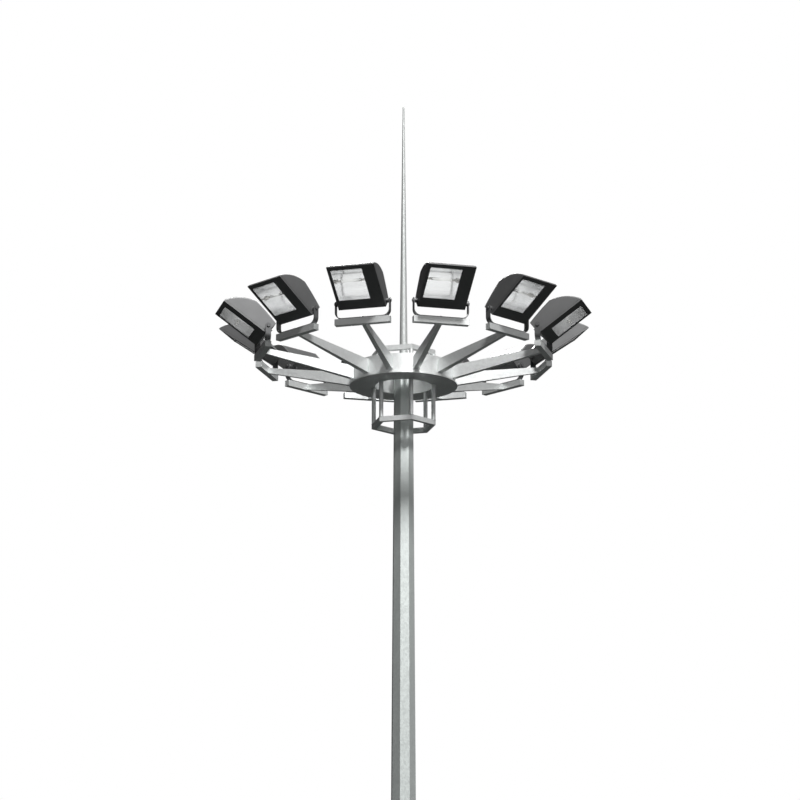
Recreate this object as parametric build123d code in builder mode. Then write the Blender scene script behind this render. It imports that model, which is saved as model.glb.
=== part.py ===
from build123d import *
import os
from math import atan, cos, degrees, radians, sin, tan

# High mast floodlight tower, in millimetres. The origin is the centre of the base
# flange's underside and +Z is up. Twelve floodlights stand on arms that leave a
# ring-shaped carriage, the first arm along +X. The carriage hangs on three ropes from
# the mast's head, so that it can be let down the mast for service.

os.makedirs("parts", exist_ok=True)

# ---------------------------------------------------------------- driving dimensions

# mast shaft: two octagonal sections of folded plate, the upper slipped over the lower
mast_height = 20000.0
mast_sides = 8
mast_top_flats = 193.0
mast_taper_per_metre = 11.0
upper_shaft_wall = 4.0
lower_shaft_wall = 6.0
splice_height = 9600.0
splice_overlap = 550.0

# base flange, its anchor bolt circle and the gussets between the bolts
flange_diameter = 720.0
flange_thickness = 30.0
cable_entry_diameter = 260.0
anchor_circle_diameter = 600.0
anchor_hole_diameter = 36.0
gusset_height = 260.0
gusset_reach = 130.0
gusset_toe = 25.0
gusset_thickness = 12.0

# service door, on the shaft side whose middle faces 292.5 degrees
door_side = 6
door_width = 130.0
door_height = 700.0
door_sill = 650.0
door_corner_radius = 40.0
door_frame_wall = 12.0
door_frame_inside = 30.0
door_frame_proud = 14.0
door_cover_thickness = 5.0
door_cover_lap = 6.0

# mast head: plate, three sheaves between cheeks, and the spire's pedestal
head_plate_lap = 13.5
head_plate_thickness = 16.0
rope_count = 3
first_rope_angle = 105.0
rope_diameter = 8.0
rope_groove_clearance = 0.4
inner_rope_radius = 60.0
rope_to_drum_gap = 50.0
rope_hole_diameter = 20.0
rope_tail = 160.0
sheave_to_plate_gap = 4.0
sheave_rim = 10.0
sheave_width = 26.0
sheave_web_width = 12.0
sheave_hub_radius = 26.0
axle_diameter = 20.0
axle_clearance = 0.2
cheek_thickness = 8.0
cheek_gap = 2.0
cheek_eye_radius = 32.0
cheek_foot_reach = 42.0

# spire: pedestal tube, two flanges and a tapered tube that ends in a point
pedestal_diameter = 88.9
pedestal_wall = 5.0
pedestal_over_sheaves = 13.0
spire_flange_diameter = 150.0
spire_flange_thickness = 12.0
spire_bolt_circle = 118.0
spire_bolt_hole = 18.0
spire_bolt_count = 4
spire_root_diameter = 86.0
spire_tip_diameter = 20.0
spire_wall = 3.0
spire_length = 2800.0

# carriage: a ring-shaped box, level with the mast's top
carriage_below_top = 90.0
drum_diameter = 1092.0
drum_height = 214.0
drum_wall = 6.0
drum_bore_diameter = 600.0
bottom_plate_lip = 24.0
bottom_plate_thickness = 12.0
top_plate_thickness = 6.0

# guide cage: a hexagonal ring above and one below the drum, on round posts
cage_outside_bore = 50.0
cage_sides = 6
cage_ring_height = 52.0
cage_ring_width = 48.0
cage_post_inside_corner = 24.0
cage_post_diameter = 44.0
cage_post_wall = 4.0
lower_ring_top = -390.0
upper_ring_top = 375.0

# rope lugs on the drum's inner wall
lug_level = 80.0
lug_thickness = 10.0
lug_width = 60.0
lug_nose = 20.0
socket_diameter = 22.0
socket_height = 40.0

# arms: box beams, tapered in height and in width, that end on the crossbars
floodlight_count = 12
arm_wall = 5.0
arm_root_bottom = 45.0
arm_root_height = 141.0
arm_root_width = 64.0
arm_tip_height = 58.0
arm_tip_width = 38.0

# crossbars: square tubes, one across the end of each arm
crossbar_radius = 1520.0
crossbar_level = 282.0
crossbar_size = 65.0
crossbar_wall = 4.0
crossbar_cap = 5.0

# yokes: bent flat bars that stand on the crossbars, as wide as these are long
yoke_side_gap = 40.0
yoke_bar_width = 60.0
yoke_bar_thickness = 8.0
yoke_bend_radius = 72.0
pivot_above_crossbar = 165.0
pivot_diameter = 16.0
pivot_clearance = 0.5
pivot_boss_diameter = 48.0
pivot_boss_clearance = 0.5
pivot_head_diameter = 30.0
pivot_head_thickness = 9.0

# floodlight: a cast housing, seen from the side as a flat face and a rounded back
face_width = 496.0
face_height = 548.0
face_tilt = 35.0
face_below_pivot = 68.0
edge_below_pivot = 26.0
rim_depth = 20.0
crest_along_face = 276.0
crest_depth = 217.0
slope_before_crest = 12.0
slope_behind_crest = 8.0
heel_along_face = -26.0
heel_depth = 152.0
housing_wall = 4.0
housing_edge_radius = 12.0

# window in the face, nearer to one side and to the upper end
window_side_margin = 28.0
window_gear_margin = 134.0
window_top_margin = 44.0
window_bottom_margin = 114.0
window_corner_radius = 6.0
glass_thickness = 5.0
glass_lap = 12.0
mirrored_floodlights = (1,)

# groove where the front frame meets the housing, and the gland for the supply cable
seam_width = 3.0
seam_depth = 1.5
gland_diameter = 26.0
gland_collar_diameter = 36.0
gland_collar_height = 5.0
gland_height = 24.0
gland_bore = 12.0
gland_from_gear_side = 60.0

# reflector: a pressed trough that opens on the glass
reflector_wall = 2.0
reflector_depth = 140.0
reflector_clear_of_window = 3.0
reflector_flange = 8.0

# ---------------------------------------------------------------- derived dimensions

arm_step = 360.0 / floodlight_count
mast_taper_angle = degrees(atan(mast_taper_per_metre / 2 / 1000.0))
side_step = 360.0 / mast_sides
corner_turn = 180.0 / mast_sides
carriage_level = mast_height - carriage_below_top
drum_radius = drum_diameter / 2
drum_bore_radius = drum_bore_diameter / 2
drum_top = carriage_level + drum_height
cage_corner_radius = drum_bore_radius + cage_outside_bore
cage_post_radius = cage_corner_radius - cage_post_inside_corner
head_plate_flats = mast_top_flats + 2 * head_plate_lap
head_top = mast_height + head_plate_thickness
rope_step = 360.0 / rope_count
outer_rope_radius = drum_bore_radius - rope_to_drum_gap
sheave_pitch_radius = (outer_rope_radius - inner_rope_radius) / 2
sheave_outer_radius = sheave_pitch_radius + sheave_rim
sheave_radius = (outer_rope_radius + inner_rope_radius) / 2
sheave_level = head_top + sheave_to_plate_gap + sheave_outer_radius
yoke_width = face_width + 2 * yoke_side_gap
window_width = face_width - window_side_margin - window_gear_margin
window_height = face_height - window_top_margin - window_bottom_margin
pivot_level = carriage_level + crossbar_level + crossbar_size / 2 + pivot_above_crossbar


def shaft_flats(height):
    """Width across the flats of the upper section's taper line at a height."""
    return mast_top_flats + mast_taper_per_metre * (mast_height - height) / 1000.0


def lower_shaft_flats(height):
    """The lower section runs inside the upper one, a wall's thickness in on each side."""
    return shaft_flats(height) - 2 * upper_shaft_wall


def radial_plane(angle):
    """Upright plane through the mast's axis: x outwards, y up."""
    return Plane(
        origin=(0, 0, 0),
        x_dir=(cos(radians(angle)), sin(radians(angle)), 0),
        z_dir=(sin(radians(angle)), -cos(radians(angle)), 0),
    )


def write(builder, name):
    """Label a finished piece and write it as one STEP file."""
    builder.part.label = name
    export_step(builder.part, f"parts/{name}.step")


# ---------------------------------------------------------------- base

# base flange: a round plate, bored for the cables and drilled for the anchor bolts
with BuildPart() as base_flange:
    with BuildSketch():
        Circle(flange_diameter / 2)
        Circle(cable_entry_diameter / 2, mode=Mode.SUBTRACT)
        with PolarLocations(anchor_circle_diameter / 2, mast_sides):
            Circle(anchor_hole_diameter / 2, mode=Mode.SUBTRACT)
    extrude(amount=flange_thickness)
write(base_flange, "base_flange")

# gussets: one on the middle of each shaft side, with their inner edge on its slope
gusset_root = lower_shaft_flats(flange_thickness) / 2
gusset_head = lower_shaft_flats(flange_thickness + gusset_height) / 2
with BuildPart() as base_gussets:
    for side in range(mast_sides):
        gusset_angle = corner_turn + side * side_step
        with BuildSketch(radial_plane(gusset_angle)):
            with BuildLine():
                Polyline(
                    (gusset_root, flange_thickness),
                    (gusset_root + gusset_reach, flange_thickness),
                    (gusset_root + gusset_reach, flange_thickness + gusset_toe),
                    (gusset_head + gusset_toe, flange_thickness + gusset_height),
                    (gusset_head, flange_thickness + gusset_height),
                    close=True,
                )
            make_face()
        extrude(amount=gusset_thickness / 2, both=True)
write(base_gussets, "base_gussets")

# ---------------------------------------------------------------- shaft

# the door stands on one flat side, so its plane leans in with the taper
door_angle = corner_turn + door_side * side_step
door_middle = door_sill + door_height / 2
door_face_radius = lower_shaft_flats(door_middle) / 2
door_plane = Plane(
    origin=(
        door_face_radius * cos(radians(door_angle)),
        door_face_radius * sin(radians(door_angle)),
        door_middle,
    ),
    x_dir=(-sin(radians(door_angle)), cos(radians(door_angle)), 0),
    z_dir=(
        cos(radians(door_angle)) * cos(radians(mast_taper_angle)),
        sin(radians(door_angle)) * cos(radians(mast_taper_angle)),
        sin(radians(mast_taper_angle)),
    ),
)

# lower shaft section, with the door opening cut through one side
with BuildPart() as shaft_lower:
    with BuildSketch(Plane.XY.offset(flange_thickness)):
        RegularPolygon(lower_shaft_flats(flange_thickness) / 2, mast_sides, major_radius=False)
    extrude(amount=splice_height + splice_overlap - flange_thickness, taper=mast_taper_angle)
    with BuildSketch(Plane.XY.offset(flange_thickness)):
        RegularPolygon(
            lower_shaft_flats(flange_thickness) / 2 - lower_shaft_wall,
            mast_sides,
            major_radius=False,
        )
    extrude(
        amount=splice_height + splice_overlap - flange_thickness,
        taper=mast_taper_angle,
        mode=Mode.SUBTRACT,
    )
    with BuildSketch(door_plane):
        RectangleRounded(door_width, door_height, door_corner_radius)
    extrude(amount=2 * lower_shaft_wall, both=True, mode=Mode.SUBTRACT)
write(shaft_lower, "shaft_lower")

# upper shaft section, slipped over the lower one
with BuildPart() as shaft_upper:
    with BuildSketch(Plane.XY.offset(splice_height)):
        RegularPolygon(shaft_flats(splice_height) / 2, mast_sides, major_radius=False)
    extrude(amount=mast_height - splice_height, taper=mast_taper_angle)
    with BuildSketch(Plane.XY.offset(splice_height)):
        RegularPolygon(
            shaft_flats(splice_height) / 2 - upper_shaft_wall, mast_sides, major_radius=False
        )
    extrude(amount=mast_height - splice_height, taper=mast_taper_angle, mode=Mode.SUBTRACT)
write(shaft_upper, "shaft_upper")

# door frame: a ring welded into the opening, standing proud outside and inside
with BuildPart() as door_frame:
    with BuildSketch(door_plane.offset(-door_frame_inside)):
        RectangleRounded(door_width, door_height, door_corner_radius)
        RectangleRounded(
            door_width - 2 * door_frame_wall,
            door_height - 2 * door_frame_wall,
            door_corner_radius - door_frame_wall,
            mode=Mode.SUBTRACT,
        )
    extrude(amount=door_frame_inside + door_frame_proud)
write(door_frame, "door_frame")

# door cover: a plate on the frame's outer edge, lapping a little past it
with BuildPart() as door_cover:
    with BuildSketch(door_plane.offset(door_frame_proud)):
        RectangleRounded(
            door_width + 2 * door_cover_lap,
            door_height + 2 * door_cover_lap,
            door_corner_radius + door_cover_lap,
        )
    extrude(amount=door_cover_thickness)
write(door_cover, "door_cover")

# ---------------------------------------------------------------- mast head

# head frame: a plate on the shaft's top, three pairs of cheeks and the sheaves' axles
cheek_offset = sheave_width / 2 + cheek_gap + cheek_thickness / 2
with BuildPart() as head_frame:
    with BuildSketch(Plane.XY.offset(mast_height)):
        RegularPolygon(head_plate_flats / 2, mast_sides, major_radius=False)
        with PolarLocations(inner_rope_radius, rope_count, start_angle=first_rope_angle):
            Circle(rope_hole_diameter / 2, mode=Mode.SUBTRACT)
    extrude(amount=head_plate_thickness)
    for rope in range(rope_count):
        cheek_plane = radial_plane(first_rope_angle + rope * rope_step)
        for cheek_side in (-1, 1):
            with BuildSketch(cheek_plane.offset(cheek_side * cheek_offset)):
                with BuildLine():
                    Polyline(
                        (head_plate_flats / 2 - cheek_foot_reach, head_top),
                        (head_plate_flats / 2, head_top),
                        (sheave_radius + cheek_eye_radius, sheave_level),
                        (sheave_radius - cheek_eye_radius, sheave_level),
                        close=True,
                    )
                make_face()
                with Locations((sheave_radius, sheave_level)):
                    Circle(cheek_eye_radius)
            extrude(amount=cheek_thickness / 2, both=True)
        with BuildSketch(cheek_plane):
            with Locations((sheave_radius, sheave_level)):
                Circle(axle_diameter / 2)
        extrude(amount=cheek_offset + cheek_thickness, both=True)
write(head_frame, "head_frame")

# sheave: hub, web and grooved rim, turned about its axle
groove_radius = rope_diameter / 2 + rope_groove_clearance
with BuildPart() as sheave:
    with BuildSketch(Plane.XZ):
        with Locations((sheave_outer_radius / 2, 0)):
            Rectangle(sheave_outer_radius, sheave_width)
        web_inner = sheave_hub_radius
        web_outer = sheave_pitch_radius - 2 * sheave_rim
        for web_side in (-1, 1):
            with Locations(((web_inner + web_outer) / 2, web_side * sheave_width / 2)):
                Rectangle(
                    web_outer - web_inner, sheave_width - sheave_web_width, mode=Mode.SUBTRACT
                )
        with Locations((sheave_pitch_radius, 0)):
            Circle(groove_radius, mode=Mode.SUBTRACT)
        with Locations((sheave_outer_radius, 0)):
            Rectangle(2 * sheave_rim, 2 * groove_radius, mode=Mode.SUBTRACT)
        with Locations((0, 0)):
            Rectangle(axle_diameter + 2 * axle_clearance, sheave_width, mode=Mode.SUBTRACT)
    revolve(axis=Axis.Z)

with BuildPart() as hoist_sheaves:
    for rope in range(rope_count):
        wheel_plane = radial_plane(first_rope_angle + rope * rope_step)
        wheel_centre = wheel_plane.from_local_coords((sheave_radius, sheave_level, 0))
        with Locations(Plane(origin=wheel_centre, x_dir=wheel_plane.x_dir, z_dir=wheel_plane.z_dir)):
            add(sheave.part)
write(hoist_sheaves, "hoist_sheaves")

# rope bends: each rope comes up through the head plate and turns over its sheave
with BuildPart() as rope_bends:
    for rope in range(rope_count):
        rope_plane = radial_plane(first_rope_angle + rope * rope_step)
        with BuildLine(rope_plane) as rope_path:
            Line((inner_rope_radius, mast_height - rope_tail), (inner_rope_radius, sheave_level))
            ThreePointArc(
                (inner_rope_radius, sheave_level),
                (sheave_radius, sheave_level + sheave_pitch_radius),
                (outer_rope_radius, sheave_level),
            )
        with BuildSketch(Plane(origin=rope_path.line @ 0, z_dir=rope_path.line % 0)):
            Circle(rope_diameter / 2)
        sweep(path=rope_path.line)
write(rope_bends, "rope_bends")

# spire pedestal: a tube on the head plate, between the sheaves, with a bolting flange
pedestal_top = sheave_level + sheave_outer_radius + pedestal_over_sheaves
with BuildPart() as spire_pedestal:
    with BuildSketch(Plane.XY.offset(head_top)):
        Circle(pedestal_diameter / 2)
        Circle(pedestal_diameter / 2 - pedestal_wall, mode=Mode.SUBTRACT)
    extrude(amount=pedestal_top - head_top)
    with BuildSketch(Plane.XY.offset(pedestal_top)):
        Circle(spire_flange_diameter / 2)
        with PolarLocations(spire_bolt_circle / 2, spire_bolt_count):
            Circle(spire_bolt_hole / 2, mode=Mode.SUBTRACT)
    extrude(amount=-spire_flange_thickness)
write(spire_pedestal, "spire_pedestal")

# lightning spire: a flange and a long tapered tube with a closed, rounded tip
spire_base = pedestal_top + spire_flange_thickness
spire_top = spire_base + spire_length
with BuildPart() as lightning_spire:
    with BuildSketch(Plane.XY.offset(pedestal_top)):
        Circle(spire_flange_diameter / 2)
        with PolarLocations(spire_bolt_circle / 2, spire_bolt_count):
            Circle(spire_bolt_hole / 2, mode=Mode.SUBTRACT)
    extrude(amount=spire_flange_thickness)
    with BuildSketch(Plane.XZ):
        with BuildLine():
            shoulder = Line(
                (spire_root_diameter / 2, spire_base),
                (spire_tip_diameter / 2, spire_top - spire_tip_diameter / 2),
            )
            nose = RadiusArc(shoulder @ 1, (0, spire_top), -spire_tip_diameter / 2)
            Line(nose @ 1, (0, spire_base))
            Line((0, spire_base), shoulder @ 0)
        make_face()
    revolve(axis=Axis.Z)
    with BuildSketch(Plane.XZ):
        with BuildLine():
            Polyline(
                (0, pedestal_top),
                (spire_root_diameter / 2 - spire_wall, pedestal_top),
                (spire_root_diameter / 2 - spire_wall, spire_base),
                (spire_tip_diameter / 2 - spire_wall, spire_top - spire_tip_diameter),
                (0, spire_top - spire_tip_diameter),
                close=True,
            )
        make_face()
    revolve(axis=Axis.Z, mode=Mode.SUBTRACT)
write(lightning_spire, "lightning_spire")

# ---------------------------------------------------------------- carriage

# bottom plate: a flat ring that reaches past the drum
with BuildPart() as drum_bottom_plate:
    with BuildSketch(Plane.XY.offset(carriage_level)):
        Circle(drum_radius + bottom_plate_lip)
        Circle(drum_bore_radius, mode=Mode.SUBTRACT)
    extrude(amount=bottom_plate_thickness)
write(drum_bottom_plate, "drum_bottom_plate")

# outer and inner walls: rolled plates that stand on the bottom plate
wall_level = carriage_level + bottom_plate_thickness
wall_height = drum_height - bottom_plate_thickness - top_plate_thickness
with BuildPart() as drum_outer_wall:
    with BuildSketch(Plane.XY.offset(wall_level)):
        Circle(drum_radius)
        Circle(drum_radius - drum_wall, mode=Mode.SUBTRACT)
    extrude(amount=wall_height)
write(drum_outer_wall, "drum_outer_wall")

with BuildPart() as drum_inner_wall:
    with BuildSketch(Plane.XY.offset(wall_level)):
        Circle(drum_bore_radius + drum_wall)
        Circle(drum_bore_radius, mode=Mode.SUBTRACT)
    extrude(amount=wall_height)
write(drum_inner_wall, "drum_inner_wall")

# top plate: closes the drum
with BuildPart() as drum_top_plate:
    with BuildSketch(Plane.XY.offset(drum_top - top_plate_thickness)):
        Circle(drum_radius)
        Circle(drum_bore_radius, mode=Mode.SUBTRACT)
    extrude(amount=top_plate_thickness)
write(drum_top_plate, "drum_top_plate")

# hexagonal rings of the guide cage, one above and one below the drum
for ring_name, ring_top in (("cage_upper_ring", upper_ring_top), ("cage_lower_ring", lower_ring_top)):
    with BuildPart() as cage_ring:
        with BuildSketch(Plane.XY.offset(carriage_level + ring_top)):
            RegularPolygon(cage_corner_radius, cage_sides)
            offset(amount=-cage_ring_width, kind=Kind.INTERSECTION, mode=Mode.SUBTRACT)
        extrude(amount=-cage_ring_height)
    write(cage_ring, ring_name)

# posts: long ones from the bottom plate down to the lower ring, short ones above the drum
with BuildPart() as cage_posts:
    for post_bottom, post_top in (
        (lower_ring_top, 0.0),
        (drum_height, upper_ring_top - cage_ring_height),
    ):
        with BuildSketch(Plane.XY.offset(carriage_level + post_bottom)):
            with PolarLocations(cage_post_radius, cage_sides):
                Circle(cage_post_diameter / 2)
                Circle(cage_post_diameter / 2 - cage_post_wall, mode=Mode.SUBTRACT)
        extrude(amount=post_top - post_bottom)
write(cage_posts, "cage_posts")

# rope lugs: brackets inside the bore, each with the socket that grips one rope's end
with BuildPart() as rope_lugs:
    with BuildSketch(Plane.XY.offset(carriage_level + lug_level)):
        with PolarLocations(0, rope_count, start_angle=first_rope_angle):
            with Locations(((drum_bore_radius + outer_rope_radius - lug_nose) / 2, 0)):
                Rectangle(drum_bore_radius - outer_rope_radius + lug_nose + drum_wall, lug_width)
        Circle(drum_bore_radius, mode=Mode.INTERSECT)
    extrude(amount=lug_thickness)
    with BuildSketch(Plane.XY.offset(carriage_level + lug_level + lug_thickness)):
        with PolarLocations(outer_rope_radius, rope_count, start_angle=first_rope_angle):
            Circle(socket_diameter / 2)
    extrude(amount=socket_height)
write(rope_lugs, "rope_lugs")

# hoist ropes: the falls between the sockets and the sheaves
fall_bottom = carriage_level + lug_level + lug_thickness + socket_height
with BuildPart() as hoist_ropes:
    with BuildSketch(Plane.XY.offset(fall_bottom)):
        with PolarLocations(outer_rope_radius, rope_count, start_angle=first_rope_angle):
            Circle(rope_diameter / 2)
    extrude(amount=sheave_level - fall_bottom)
write(hoist_ropes, "hoist_ropes")

# ---------------------------------------------------------------- arms and crossbars

# arm: a box beam, deepest and widest at the drum, cut to the drum's curve
arm_end = crossbar_radius - crossbar_size / 2
arm_start = drum_radius - arm_root_width


def arm_section(radius):
    """The arm's width, underside and top at a radius, between its root and its tip."""
    share = (radius - drum_radius) / (arm_end - drum_radius)
    tip_bottom = crossbar_level - arm_tip_height / 2
    width = arm_root_width + share * (arm_tip_width - arm_root_width)
    bottom = arm_root_bottom + share * (tip_bottom - arm_root_bottom)
    root_top = arm_root_bottom + arm_root_height
    top = root_top + share * (tip_bottom + arm_tip_height - root_top)
    return width, bottom, top


with BuildPart() as arm:
    for inset, cut in ((0.0, Mode.ADD), (arm_wall, Mode.SUBTRACT)):
        for radius in (arm_start, arm_end):
            section_width, section_bottom, section_top = arm_section(radius)
            with BuildSketch(Plane.YZ.offset(radius)):
                with Locations((0, (section_bottom + section_top) / 2)):
                    Rectangle(section_width - 2 * inset, section_top - section_bottom - 2 * inset)
        loft(ruled=True, mode=cut)
    with BuildSketch():
        Circle(drum_radius)
    extrude(amount=drum_height, mode=Mode.SUBTRACT)

with BuildPart() as carriage_arms:
    with Locations((0, 0, carriage_level)):
        with PolarLocations(0, floodlight_count):
            add(arm.part)
write(carriage_arms, "carriage_arms")

# crossbar: a square tube with a cap let into each end
with BuildPart() as crossbar:
    with BuildSketch(Plane.XZ):
        with Locations((crossbar_radius, crossbar_level)):
            Rectangle(crossbar_size, crossbar_size)
            Rectangle(
                crossbar_size - 2 * crossbar_wall,
                crossbar_size - 2 * crossbar_wall,
                mode=Mode.SUBTRACT,
            )
    extrude(amount=yoke_width / 2, both=True)

with BuildPart() as crossbars:
    with Locations((0, 0, carriage_level)):
        with PolarLocations(0, floodlight_count):
            add(crossbar.part)
write(crossbars, "crossbars")

with BuildPart() as crossbar_cap_pair:
    for cap_side in (-1, 1):
        cap_plane = Plane.XZ.offset(cap_side * (yoke_width / 2 - crossbar_cap / 2))
        with BuildSketch(cap_plane):
            with Locations((crossbar_radius, crossbar_level)):
                Rectangle(crossbar_size - 2 * crossbar_wall, crossbar_size - 2 * crossbar_wall)
        extrude(amount=crossbar_cap / 2, both=True)

with BuildPart() as crossbar_caps:
    with Locations((0, 0, carriage_level)):
        with PolarLocations(0, floodlight_count):
            add(crossbar_cap_pair.part)
write(crossbar_caps, "crossbar_caps")

# ---------------------------------------------------------------- yokes

# yoke: a flat bar bent into a U, with rounded, drilled ears
yoke_foot = crossbar_level + crossbar_size / 2
yoke_rise = pivot_above_crossbar + yoke_bar_width / 2
with BuildPart() as yoke:
    with BuildSketch(Plane.YZ.offset(crossbar_radius - yoke_bar_width / 2)) as yoke_section:
        with BuildLine() as yoke_outline:
            FilletPolyline(
                (-yoke_width / 2, yoke_foot + yoke_rise),
                (-yoke_width / 2, yoke_foot),
                (yoke_width / 2, yoke_foot),
                (yoke_width / 2, yoke_foot + yoke_rise),
                radius=yoke_bend_radius,
            )
            Line(
                (yoke_width / 2, yoke_foot + yoke_rise), (-yoke_width / 2, yoke_foot + yoke_rise)
            )
        make_face()
        with BuildLine() as yoke_inline:
            yoke_inside = yoke_width / 2 - yoke_bar_thickness
            FilletPolyline(
                (-yoke_inside, yoke_foot + yoke_rise),
                (-yoke_inside, yoke_foot + yoke_bar_thickness),
                (yoke_inside, yoke_foot + yoke_bar_thickness),
                (yoke_inside, yoke_foot + yoke_rise),
                radius=yoke_bend_radius - yoke_bar_thickness,
            )
            Line((yoke_inside, yoke_foot + yoke_rise), (-yoke_inside, yoke_foot + yoke_rise))
        make_face(mode=Mode.SUBTRACT)
    extrude(amount=yoke_bar_width)
    ear_corners = yoke.edges().filter_by(Axis.Y).group_by(Axis.Z)[-1]
    fillet(ear_corners, radius=yoke_bar_width / 2 - pivot_clearance)
    with BuildSketch(Plane.XZ):
        with Locations((crossbar_radius, yoke_foot + pivot_above_crossbar)):
            Circle(pivot_diameter / 2 + pivot_clearance)
    extrude(amount=yoke_width, both=True, mode=Mode.SUBTRACT)

with BuildPart() as yokes:
    with Locations((0, 0, carriage_level)):
        with PolarLocations(0, floodlight_count):
            add(yoke.part)
write(yokes, "yokes")

# ---------------------------------------------------------------- floodlights

# the housing's section: u runs outwards and up along the face, v from the face to the back
section_plane = Plane(
    origin=(crossbar_radius, 0, pivot_level),
    x_dir=(cos(radians(face_tilt)), 0, sin(radians(face_tilt))),
    z_dir=(0, -1, 0),
)
face_start = -edge_below_pivot
face_end = face_height - edge_below_pivot
face_depth = -face_below_pivot
crest = (face_start + crest_along_face, face_depth + crest_depth)
heel = (face_start + heel_along_face, face_depth + heel_depth)

# the face's own plane: x along the pivot's axis, y up the face, z out of the window
face_plane = Plane(
    origin=section_plane.from_local_coords((0, face_depth, 0)),
    x_dir=(0, 1, 0),
    z_dir=-section_plane.y_dir,
)
window_across = -face_width / 2 + window_side_margin + window_width / 2
window_along = face_end - window_top_margin - window_height / 2

# the gland's plane: on the wall between the heel and the face, towards the gear's side
heel_wall = Vector(heel[0] - face_start, heel[1] - face_depth, 0)
gland_plane = Plane(
    origin=section_plane.from_local_coords(
        (
            (heel[0] + face_start) / 2,
            (heel[1] + face_depth) / 2,
            -(face_width / 2 - gland_from_gear_side),
        )
    ),
    x_dir=(0, 1, 0),
    z_dir=section_plane.x_dir * -heel_wall.Y + section_plane.y_dir * heel_wall.X,
)

# housing: cast shell with bosses, pivot pins and pin heads on its two cheeks
with BuildPart() as housing:
    with BuildSketch(section_plane) as housing_section:
        with BuildLine():
            Line((face_start, face_depth), (face_end, face_depth))
            Line((face_end, face_depth), (face_end, face_depth + rim_depth))
            TangentArc(
                crest,
                (face_end, face_depth + rim_depth),
                tangent=(cos(radians(slope_before_crest)), -sin(radians(slope_before_crest))),
            )
            TangentArc(
                crest,
                heel,
                tangent=(-cos(radians(slope_behind_crest)), -sin(radians(slope_behind_crest))),
            )
            Line(heel, (face_start, face_depth))
        make_face()
    extrude(amount=face_width / 2, both=True)
    back_edges = housing.edges().filter_by(GeomType.CIRCLE)
    fillet(back_edges, radius=housing_edge_radius)
    with BuildSketch(section_plane):
        add(housing_section.sketch_local)
        offset(amount=-housing_wall, kind=Kind.INTERSECTION)
    extrude(amount=face_width / 2 - housing_wall, both=True, mode=Mode.SUBTRACT)
    with BuildSketch(face_plane):
        with Locations((window_across, window_along)):
            RectangleRounded(window_width, window_height, window_corner_radius)
    extrude(amount=-2 * housing_wall, mode=Mode.SUBTRACT)
    seam_end = face_start + rim_depth * heel_along_face / heel_depth
    with BuildSketch(face_plane.offset(-rim_depth)):
        with Locations((0, (face_end + seam_end) / 2)):
            Rectangle(face_width + seam_width, face_end - seam_end + seam_width)
            Rectangle(
                face_width - 2 * seam_depth,
                face_end - seam_end - 2 * seam_depth,
                mode=Mode.SUBTRACT,
            )
    extrude(amount=seam_width, mode=Mode.SUBTRACT)
    for diameter, height in (
        (gland_collar_diameter, gland_collar_height),
        (gland_diameter, gland_height),
    ):
        with BuildSketch(gland_plane):
            Circle(diameter / 2)
            Circle(gland_bore / 2, mode=Mode.SUBTRACT)
        extrude(amount=height)
    with BuildSketch(gland_plane):
        Circle(gland_bore / 2)
    extrude(amount=-2 * housing_wall, mode=Mode.SUBTRACT)
    ear_inside = yoke_width / 2 - yoke_bar_thickness
    for boss_side in (-1, 1):
        for diameter, start, end in (
            (pivot_boss_diameter, face_width / 2, ear_inside - pivot_boss_clearance),
            (pivot_diameter, face_width / 2, yoke_width / 2 + pivot_boss_clearance),
            (
                pivot_head_diameter,
                yoke_width / 2 + pivot_boss_clearance,
                yoke_width / 2 + pivot_boss_clearance + pivot_head_thickness,
            ),
        ):
            with BuildSketch(section_plane.offset(boss_side * start)):
                Circle(diameter / 2)
            extrude(amount=boss_side * (end - start))

# glass: a pane behind the window, lapping the face all round
with BuildPart() as glass:
    with BuildSketch(face_plane.offset(-housing_wall)):
        with Locations((window_across, window_along)):
            Rectangle(window_width + 2 * glass_lap, window_height + 2 * glass_lap)
    extrude(amount=-glass_thickness)

# reflector: a trough with two flat cheeks and a flange that lies on the back of the glass
trough_low = window_along - window_height / 2 - reflector_clear_of_window
trough_high = window_along + window_height / 2 + reflector_clear_of_window
trough_mouth = face_depth + housing_wall + glass_thickness
trough_width = window_width + 2 * reflector_clear_of_window
with BuildPart() as reflector:
    for growth, cut in ((reflector_wall, Mode.ADD), (0.0, Mode.SUBTRACT)):
        with BuildSketch(section_plane.offset(-window_across)):
            with BuildLine():
                mouth = Line((trough_low - growth, trough_mouth), (trough_high + growth, trough_mouth))
                ThreePointArc(
                    mouth @ 1, (window_along, trough_mouth + reflector_depth + growth), mouth @ 0
                )
            make_face()
        extrude(amount=trough_width / 2 + growth, both=True, mode=cut)
    with BuildSketch(face_plane.offset(-housing_wall - glass_thickness)):
        with Locations((window_across, window_along)):
            Rectangle(
                trough_width + 2 * reflector_flange, trough_high - trough_low + 2 * reflector_flange
            )
            Rectangle(trough_width, trough_high - trough_low, mode=Mode.SUBTRACT)
    extrude(amount=-reflector_wall)

# twelve copies, numbered anticlockwise from +X; the first is the opposite hand
for number in range(1, floodlight_count + 1):
    turn = Location((0, 0, 0), (0, 0, (number - 1) * arm_step))
    for piece_name, piece in (("housing", housing), ("glass", glass), ("reflector", reflector)):
        shape = piece.part
        if number in mirrored_floodlights:
            shape = mirror(shape, about=Plane.XZ, mode=Mode.PRIVATE)
        with BuildPart() as placed:
            with Locations(turn):
                add(shape)
        write(placed, f"floodlight_{number:02d}_{piece_name}")
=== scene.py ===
import math

import bmesh
import bpy
from mathutils import Matrix, Vector


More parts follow.
